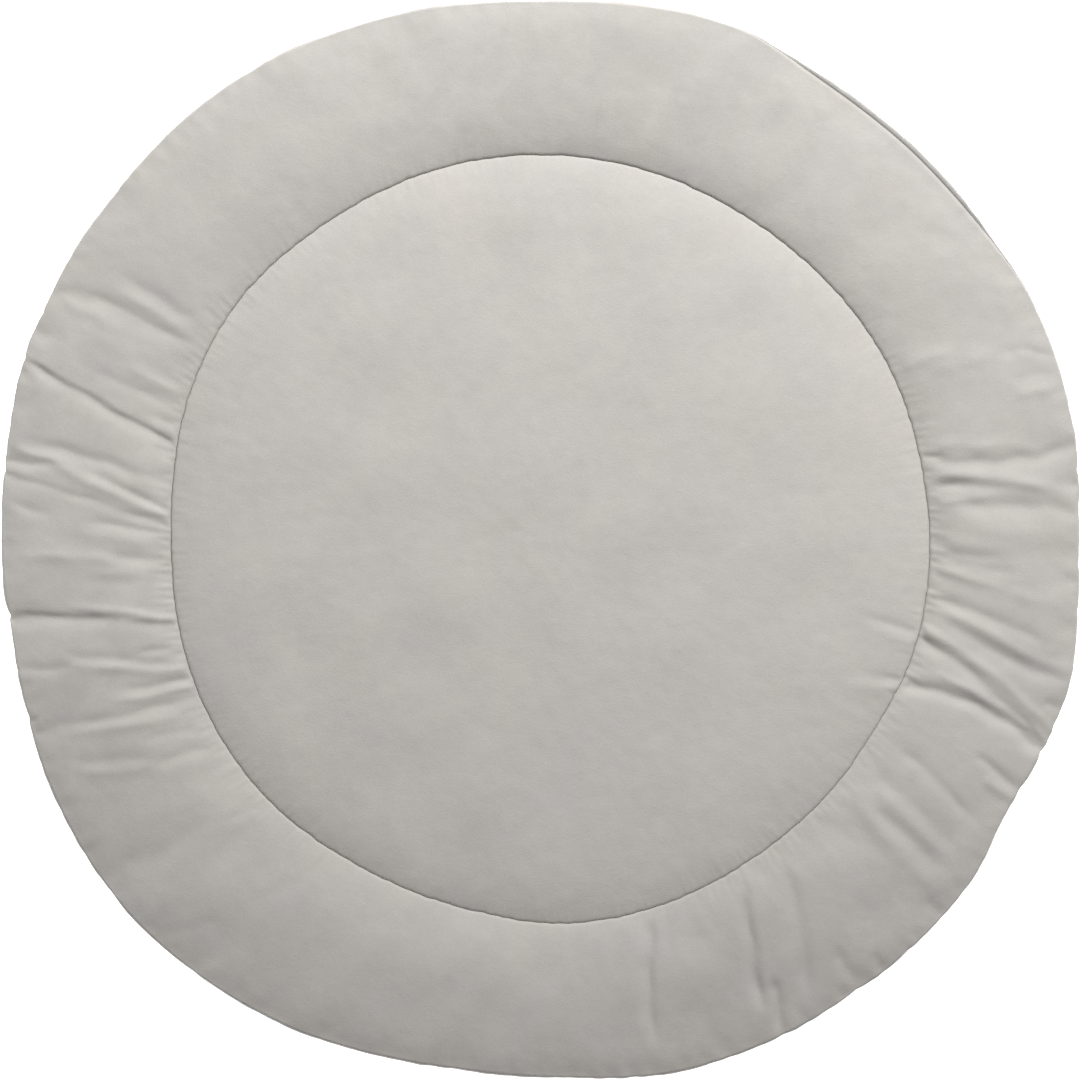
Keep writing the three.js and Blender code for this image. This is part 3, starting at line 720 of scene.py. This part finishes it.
# The back cloth has every second section, and rings at these shares of its flat middle and offsets
# over the furrow, whose sides are a little hollow.
BACK_EVERY = 2
FLAT_SHARES = np.linspace(0.02, 0.98, 12)
FURROW_OFFSETS = np.linspace(-1, 1, 9)
FURROW_HOLLOW = 1.3


def make_back():
    angle = ALL_ROUND[::BACK_EVERY]
    seam = seam_radius(angle)
    edge = rim_seam_at(angle) - SEAM_CLEARANCE

    def sheet(thickness):
        rings = []
        for share in FLAT_SHARES:
            rings.append(flat_ring(angle, (seam - FURROW_HALF_WIDTH) * share, thickness))
        for off in FURROW_OFFSETS:
            lift = FURROW_DEPTH * (1 - abs(off)) ** FURROW_HOLLOW
            rings.append(flat_ring(angle, seam + off * FURROW_HALF_WIDTH, thickness + lift))
        for t in np.arange(TURN_UP_STEPS * 2 + 1) / (TURN_UP_STEPS * 2):
            rings.append(border_surface(angle, -1 + (edge + 1) * t, thickness))
        return rings

    rings = sheet(0) + sheet(CLOTH)[::-1]
    return solid_through("back_cloth", rings, start_middle=0, end_middle=CLOTH)


# Between these values lies most of a smooth noise, of what colours the velvet and of the weave.
NOISE_RANGE = (0.3, 0.7)
TONE_RANGE = (0.35, 0.65)
THREAD_RANGE = (0.4, 0.7)


class Nodes:
    """A material's node tree, with short calls to add and join nodes."""

    def __init__(self, name):
        self.material = bpy.data.materials.new(name)
        self.material.use_nodes = True
        self.tree = self.material.node_tree
        self.tree.nodes.clear()
        self.output = self.add("ShaderNodeOutputMaterial")
        self.shader = self.add("ShaderNodeBsdfPrincipled")
        self.join(self.shader.outputs["BSDF"], self.output.inputs["Surface"])
        self.place = self.add("ShaderNodeTexCoord").outputs["Object"]

    def add(self, kind, **values):
        node = self.tree.nodes.new(kind)
        for name, value in values.items():
            setattr(node, name, value)
        return node

    def join(self, source, target):
        self.tree.links.new(source, target)

    def set_shader(self, values):
        for name, value in values.items():
            self.shader.inputs[name].default_value = value

    def noise(self, scale, detail=2.0, roughness=0.5, distortion=0.0, stretch=None):
        """Smooth noise over the cloth. scale is in features for each metre."""
        node = self.add("ShaderNodeTexNoise")
        place = self.place
        if stretch is not None:
            mapping = self.add("ShaderNodeMapping")
            mapping.inputs["Scale"].default_value = stretch
            self.join(place, mapping.inputs["Vector"])
            place = mapping.outputs["Vector"]
        self.join(place, node.inputs["Vector"])
        node.inputs["Scale"].default_value = scale
        node.inputs["Detail"].default_value = detail
        node.inputs["Roughness"].default_value = roughness
        node.inputs["Distortion"].default_value = distortion
        return node.outputs["Fac"]

    def away_from(self, place):
        """How far the shaded point is from a place, in metres."""
        node = self.add("ShaderNodeVectorMath", operation="DISTANCE")
        self.join(self.place, node.inputs[0])
        node.inputs[1].default_value = place
        return node.outputs["Value"]

    def between(self, value, low, high, new_low, new_high, soft=False):
        kind = "SMOOTHSTEP" if soft else "LINEAR"
        node = self.add("ShaderNodeMapRange", interpolation_type=kind)
        self.join(value, node.inputs["Value"])
        node.inputs["From Min"].default_value = low
        node.inputs["From Max"].default_value = high
        node.inputs["To Min"].default_value = new_low
        node.inputs["To Max"].default_value = new_high
        return node.outputs["Result"]

    def calculate(self, operation, first, second):
        node = self.add("ShaderNodeMath", operation=operation)
        for value, socket in ((first, node.inputs[0]), (second, node.inputs[1])):
            if isinstance(value, (int, float)):
                socket.default_value = value
            else:
                self.join(value, socket)
        return node.outputs["Value"]

    def vary(self, factor, noise, amount):
        """A factor that noise raises and lowers by an amount."""
        change = self.between(noise, *NOISE_RANGE, 1 - amount, 1 + amount)
        return self.calculate("MULTIPLY", factor, change)

    def blend(self, share, first, second):
        """A colour between two others."""
        node = self.add("ShaderNodeMix", data_type="RGBA")
        self.join(share, node.inputs["Factor"])
        node.inputs["A"].default_value = (*first, 1)
        node.inputs["B"].default_value = (*second, 1)
        return node.outputs["Result"]

    def shade(self, colour, factor):
        """A colour made lighter or darker by a factor."""
        node = self.add("ShaderNodeVectorMath", operation="SCALE")
        self.join(colour, node.inputs[0])
        self.join(factor, node.inputs["Scale"])
        return node.outputs["Vector"]

    def bump(self, height, distance, strength=1.0, below=None):
        node = self.add("ShaderNodeBump")
        node.inputs["Strength"].default_value = strength
        node.inputs["Distance"].default_value = distance
        self.join(height, node.inputs["Height"])
        if below is not None:
            self.join(below, node.inputs["Normal"])
        return node.outputs["Normal"]


WARM_GREY = (0.440, 0.418, 0.390)
COOL_GREY = (0.428, 0.414, 0.394)

# Patches where the pile is darker or lighter: the middle and reach in metres, and the tone. On the
# centre the pile has been brushed the other way; on the border they are painted shade at the top and
# at the lower right, and painted light on the left.
PileAndLightPatch = namedtuple("PileAndLightPatch", "place reach tone")
CENTRE_SMUDGES = [
    PileAndLightPatch((-0.022, 0.270, 0.031), 0.034, 0.955),
    PileAndLightPatch((-0.052, 0.150, 0.031), 0.028, 0.98),
]
# On the border: painted shade at the top and at the lower right, and painted light on the left.
BORDER_PAINTED_SHADE_AND_LIGHT = [
    PileAndLightPatch((0.10, 0.485, 0.036), 0.24, 0.935),
    PileAndLightPatch((-0.49, 0.0, 0.036), 0.22, 1.07),
    PileAndLightPatch((0.20, -0.35, 0.036), 0.22, 0.955),
]

# How far each kind of patch, from large to small, makes the pile lighter and darker.
BRUSHED = 0.022
MOTTLE = 0.02
PILE = 0.025

# A patch fades between these shares of its reach, which itself varies by a share.
PATCH_FADE = (0.2, 1.1)
PATCH_UNEVEN = 0.35
VELVET_SHADER = {
    "Roughness": 0.85,
    "Specular IOR Level": 0.15,
    "Sheen Weight": 0.25,
    "Sheen Roughness": 0.45,
}


def velvet(name, tone_of_panel, pile_and_light_patches):
    """Short soft pile: brushed patches, a fine mottle, a pile that lights up at its edges, and given
    patches of another tone: brushed pile on the centre, painted shade and painted light on the border.
    """
    nodes = Nodes(name)
    tone = nodes.noise(scale=16, detail=3, roughness=0.55, distortion=0.6)
    colour = nodes.blend(nodes.between(tone, *TONE_RANGE, 0, 1), WARM_GREY, COOL_GREY)
    brushed = nodes.noise(scale=9, detail=4, roughness=0.5, distortion=1.2)
    mottle = nodes.noise(scale=70, detail=3, roughness=0.6)
    pile = nodes.noise(scale=520, detail=2, roughness=0.6)
    factor = tone_of_panel
    for noise, amount in ((brushed, BRUSHED), (mottle, MOTTLE), (pile, PILE)):
        factor = nodes.vary(factor, noise, amount)
    patchy = nodes.noise(scale=34, detail=3, distortion=0.8)
    uneven_reach = nodes.between(patchy, *NOISE_RANGE, -PATCH_UNEVEN, PATCH_UNEVEN)
    # Each patch darkens or lightens the pile: brushed pile on the centre, painted shade and painted
    # light on the border.
    for pile_or_light_patch in pile_and_light_patches:
        away = nodes.calculate("DIVIDE", nodes.away_from(pile_or_light_patch.place), pile_or_light_patch.reach)
        away = nodes.calculate("ADD", away, uneven_reach)
        tone_there = nodes.between(away, *PATCH_FADE, pile_or_light_patch.tone, 1, soft=True)
        factor = nodes.calculate("MULTIPLY", factor, tone_there)
    nodes.join(nodes.shade(colour, factor), nodes.shader.inputs["Base Color"])
    nodes.set_shader(VELVET_SHADER)
    dents = nodes.noise(scale=45, detail=3, roughness=0.5)
    grain = nodes.noise(scale=700, detail=2, roughness=0.6)
    coarse = nodes.bump(dents, distance=0.0012, strength=0.5)
    fine = nodes.bump(grain, distance=0.0004, strength=0.5, below=coarse)
    nodes.join(fine, nodes.shader.inputs["Normal"])
    return nodes.material


BACK_LIGHT = (0.33, 0.32, 0.303)
BACK_DARK = (0.28, 0.271, 0.257)
BACK_PATCHES = 0.03  # how far patches make the back cloth lighter and darker
BACK_SHADER = {"Roughness": 0.9, "Specular IOR Level": 0.2}
THREADS = 160  # for each metre, in the weave of the back cloth
THREAD_FINENESS = 9  # how many times as fine the weave is across its threads


def woven():
    """The plain woven back cloth."""
    nodes = Nodes("woven_back")
    across = nodes.noise(scale=THREADS, stretch=(THREAD_FINENESS, 1, 1))
    along = nodes.noise(scale=THREADS, stretch=(1, THREAD_FINENESS, 1))
    threads = nodes.calculate("MAXIMUM", across, along)
    colour = nodes.blend(nodes.between(threads, *THREAD_RANGE, 0, 1), BACK_DARK, BACK_LIGHT)
    patches = nodes.noise(scale=14, detail=3)
    colour = nodes.shade(colour, nodes.vary(1, patches, BACK_PATCHES))
    nodes.join(colour, nodes.shader.inputs["Base Color"])
    nodes.set_shader(BACK_SHADER)
    nodes.join(nodes.bump(threads, distance=0.0003, strength=0.5), nodes.shader.inputs["Normal"])
    return nodes.material


def dress(piece, material, node):
    piece.data.materials.append(material)
    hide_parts(node)
    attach(piece, "root")


border = make_border()
centre = make_centre()
back = make_back()

# The outline isn't quite even: like the solids, the mat is moved until it lies round the origin.
outline = np.array([vertex.co for vertex in border.data.vertices])
middle = (outline.min(0) + outline.max(0)) / 2
for piece in (border, centre, back):
    for vertex in piece.data.vertices:
        vertex.co.x -= middle[0]
        vertex.co.y -= middle[1]

# The pile of the border's panels runs another way than the centre's, so it looks a little darker.
BORDER_TONE = 0.945
centre_velvet = velvet("velvet_centre", 1, CENTRE_SMUDGES)
border_velvet = velvet("velvet_border", BORDER_TONE, BORDER_PAINTED_SHADE_AND_LIGHT)
back_weave = woven()
dress(border, border_velvet, "border_panel")
dress(centre, centre_velvet, "centre_panel")
dress(back, back_weave, "back_panel")


# The floor, the lights and the camera are in metres.
FLOOR_SIZE = 60
FLOOR_DROP = 0.0004  # under the mat, so that the two don't flicker
FLOOR_SHADER = {
    "Base Color": (0.93, 0.93, 0.93, 1),
    "Roughness": 0.9,
    "Specular IOR Level": 0.1,
    "Emission Color": (1, 1, 1, 1),
    "Emission Strength": 1.5,
}


def floor():
    bpy.ops.mesh.primitive_plane_add(size=FLOOR_SIZE, location=(0, 0, -FLOOR_DROP))
    plane = bpy.context.object
    plane.name = "floor"
    nodes = Nodes("pale_floor")
    nodes.set_shader(FLOOR_SHADER)
    plane.data.materials.append(nodes.material)


# The key light stands at a heading in degrees and a distance from the mat's middle, and aims at it.
KEY_HEADING = 75
KEY_REACH = 1.69
KEY_HEIGHT = 1.41
KEY_SIZE = (3.0, 0.9)
KEY_POWER = 86
SKY_STRENGTH = 0.32


def key_light():
    light = bpy.data.lights.new("key", "AREA")
    light.shape = "RECTANGLE"
    light.size, light.size_y = KEY_SIZE
    light.energy = KEY_POWER
    heading = math.radians(KEY_HEADING)
    lamp = bpy.data.objects.new("key", light)
    lamp.location = (KEY_REACH * math.cos(heading), KEY_REACH * math.sin(heading), KEY_HEIGHT)
    lamp.rotation_euler = (math.atan2(KEY_REACH, KEY_HEIGHT), 0, heading + math.pi / 2)
    bpy.context.scene.collection.objects.link(lamp)


def sky_light():
    world = bpy.data.worlds.new("studio")
    world.use_nodes = True
    background = world.node_tree.nodes["Background"]
    background.inputs["Color"].default_value = (1, 1, 1, 1)
    background.inputs["Strength"].default_value = SKY_STRENGTH
    bpy.context.scene.world = world


# The camera looks straight down. The frame is so wide at the height at which the mat is widest.
CAMERA_HEIGHT = 4.0
CAMERA_SHIFT = -0.0004
FRAME_WIDTH = 0.9544
SENSOR = 36
SIGHT = 50


def camera():
    lens = bpy.data.cameras.new("camera")
    lens.sensor_width = SENSOR
    lens.lens = SENSOR * (CAMERA_HEIGHT - WIDEST_HEIGHT * MM) / FRAME_WIDTH
    lens.clip_end = SIGHT
    eye = bpy.data.objects.new("camera", lens)
    eye.location = (CAMERA_SHIFT, 0, CAMERA_HEIGHT)
    bpy.context.scene.collection.objects.link(eye)
    bpy.context.scene.camera = eye


floor()
sky_light()
key_light()
camera()
bpy.context.scene.view_settings.view_transform = "Standard"
